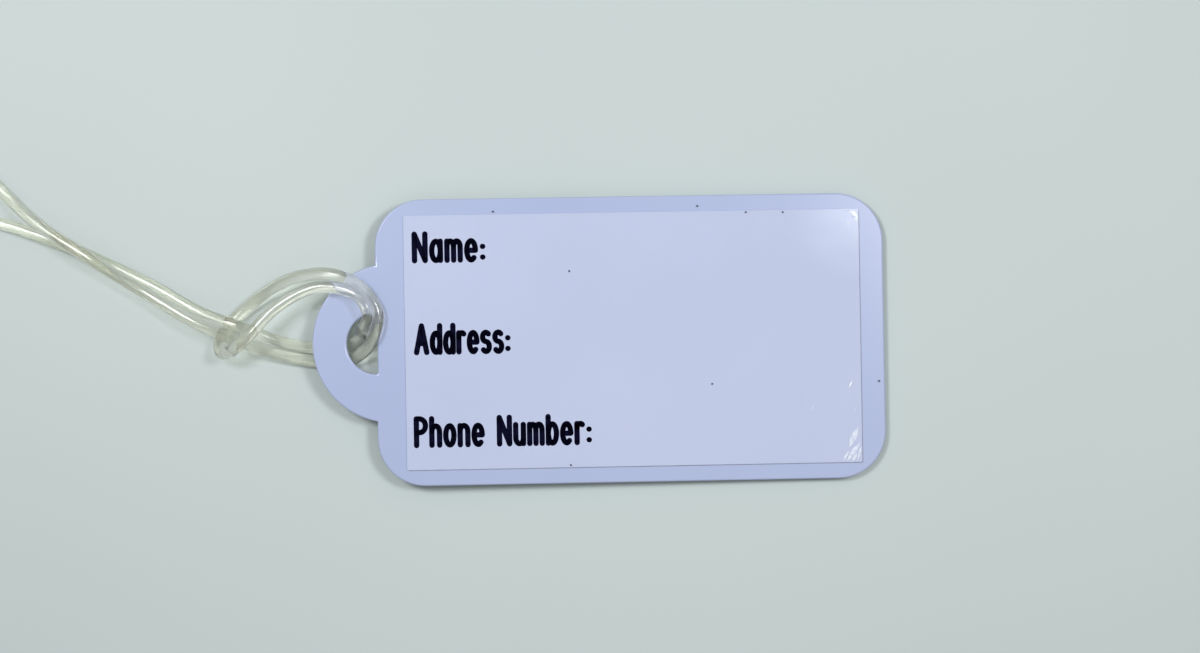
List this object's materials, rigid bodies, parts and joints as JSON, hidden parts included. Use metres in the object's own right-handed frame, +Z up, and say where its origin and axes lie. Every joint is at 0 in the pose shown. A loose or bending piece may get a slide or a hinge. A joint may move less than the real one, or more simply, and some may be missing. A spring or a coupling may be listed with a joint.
{
  "type": "luggage tag",
  "caption": "Flat rounded plastic luggage tag with a D-shaped hole in its end tab, a laminated address label, and a clear vinyl loop strap hitched through the hole.",
  "frame": {"origin": "under the middle of the plate's length and width, on the surface that the tag lies on", "axes": "+X along the plate, away from the strap; +Y across it, towards the side the hitch's legs lie on; +Z up, out of the labelled side"},
  "size_m": [0.1933, 0.0692, 0.0095],
  "materials": {
    "plate": "gloss coated white plastic, seen cool white",
    "adhesive": "clear tacky adhesive",
    "label_sheet": "smooth coated white sheet",
    "label_film": "clear gloss laminating film",
    "ink": "dark printed ink under the film",
    "strap": "clear flexible vinyl, slightly cloudy"
  },
  "bodies": {
    "tag": {"tag_plate": "plate", "label_adhesive": "adhesive", "label_sheet": "label_sheet", "label_film": "label_film"},
    "hitch": {"strap_hitch": "strap"},
    "loop": {"strap_loop": "strap"}
  },
  "joints": [
    {"name": "tag_swivel", "type": "hinge", "parent": "tag", "child": "hitch", "pos_m": [-0.0452, 0.0006, 0.0055], "axis": [0, 0, 1], "range_deg": [-10, 10]},
    {"name": "strap_lift", "type": "hinge", "parent": "hitch", "child": "loop", "pos_m": [-0.084, 0.0082, 0.0052], "axis": [0.4907, 0.8713, 0], "range_deg": [0, 75]}
  ]
}
